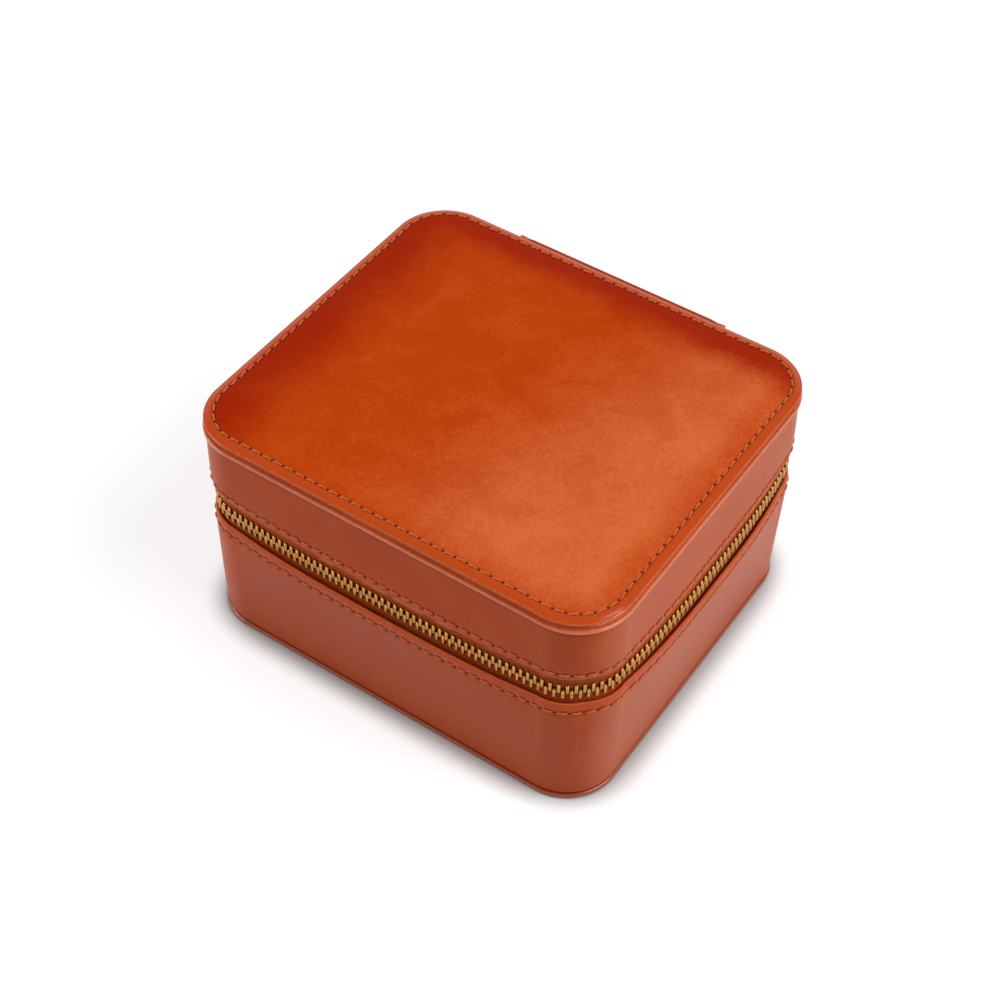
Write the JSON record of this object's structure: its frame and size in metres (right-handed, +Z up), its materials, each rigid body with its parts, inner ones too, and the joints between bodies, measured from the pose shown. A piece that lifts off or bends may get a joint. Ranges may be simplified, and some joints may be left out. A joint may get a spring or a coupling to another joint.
{
  "type": "zip-around watch case",
  "caption": "Rounded square leather travel case for watches: padded top, zip round three sides, leather spine as its hinge, cushions and divider inside.",
  "frame": {"origin": "middle of the underside of the closed case's leather outline", "axes": "+Z up, +X to the right along the wide front, +Y to the back, where the spine is"},
  "size_m": [0.1479, 0.1301, 0.085],
  "materials": {
    "leather_tan": "burnished, semi-gloss",
    "lining_suede": "matt nap",
    "cushion_suede": "matt nap",
    "board": "matt",
    "foam": "matt",
    "zip_tape": "woven",
    "zip_brass": "antique, worn bright on its edges"
  },
  "bodies": {
    "base": {"base_bottom_panel": "leather_tan", "base_welt": "leather_tan", "base_wall_leather": "leather_tan", "base_floor_board": "board", "base_wall_board": "board", "base_floor_lining": "lining_suede", "base_wall_lining": "lining_suede", "divider": "lining_suede", "watch_cushion_left": "cushion_suede", "watch_cushion_right": "cushion_suede", "zip_tape_base": "zip_tape", "zip_teeth_base": "zip_brass", "zip_stops_base": "zip_brass", "spine": "leather_tan", "hinge_lining": "lining_suede"},
    "lid": {"lid_top_panel": "leather_tan", "lid_foam": "foam", "lid_piping": "leather_tan", "lid_wall_leather": "leather_tan", "lid_top_board": "board", "lid_wall_board": "board", "lid_wall_lining": "lining_suede", "lid_pad": "lining_suede", "zip_tape_lid": "zip_tape", "zip_teeth_lid": "zip_brass", "zip_stops_lid": "zip_brass"},
    "slider": {"slider_body": "zip_brass", "slider_bail": "zip_brass"},
    "puller": {"pull_tab": "zip_brass"}
  },
  "joints": [
    {"name": "lid_hinge", "type": "hinge", "parent": "base", "child": "lid", "pos_m": [0, 0.0651, 0.05165], "axis": [-1, 0, 0], "range_deg": [0, 110], "deforming": ["spine", "hinge_lining"]},
    {"name": "slider_slide", "type": "slide", "parent": "base", "child": "slider", "axis": [0, -1, 0], "range_m": [0, 0.08], "deforming": ["zip_teeth_base", "zip_stops_base", "zip_teeth_lid", "zip_stops_lid"]},
    {"name": "puller_swing", "type": "hinge", "parent": "slider", "child": "puller", "pos_m": [-0.0735, 0.03865, 0.05165], "axis": [0, 0, -1], "range_deg": [0, 170]}
  ]
}
